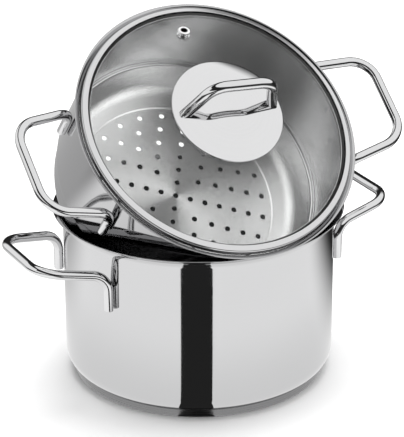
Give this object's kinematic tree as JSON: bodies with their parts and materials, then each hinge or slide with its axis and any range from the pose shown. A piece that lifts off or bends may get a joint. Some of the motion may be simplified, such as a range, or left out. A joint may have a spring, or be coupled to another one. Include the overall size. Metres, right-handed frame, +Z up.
{
  "type": "couscoussier",
  "caption": "Polished steel stockpot with a perforated steamer insert resting tipped in its mouth, a domed glass lid with a rod handle, and bent rod side handles.",
  "frame": {"origin": "centre of the pot's foot, on the worktop", "axes": "+Z up; X along the pot's two handles; the steamer and its lid lean towards -Y"},
  "size_m": [0.2966, 0.2161, 0.2654],
  "materials": {
    "mirror_steel": "polished",
    "satin_steel": "satin",
    "aluminium": "satin",
    "clear_glass": "gloss",
    "silicone": "matte"
  },
  "bodies": {
    "pot": {"pot_body": "mirror_steel", "pot_base_core": "aluminium", "pot_base_cap": "satin_steel", "pot_handle_left": "mirror_steel", "pot_handle_right": "mirror_steel"},
    "steamer": {"steamer_body": "mirror_steel", "steamer_handle_left": "mirror_steel", "steamer_handle_right": "mirror_steel"},
    "lid": {"lid_glass": "clear_glass", "lid_band": "mirror_steel", "lid_vent_eyelet": "mirror_steel", "lid_vent_washer": "satin_steel", "lid_plate": "mirror_steel", "lid_gasket": "silicone", "lid_handle": "mirror_steel", "lid_stud": "satin_steel", "lid_sleeve": "silicone", "lid_seal": "silicone", "lid_washer": "satin_steel", "lid_nut": "mirror_steel"}
  },
  "joints": [
    {"name": "steamer_lift", "type": "slide", "parent": "pot", "child": "steamer", "axis": [0, 0, 1], "range_m": [0, 0.2]},
    {"name": "lid_lift", "type": "slide", "parent": "steamer", "child": "lid", "axis": [0, -0.6481, 0.7615], "range_m": [0, 0.12]}
  ]
}
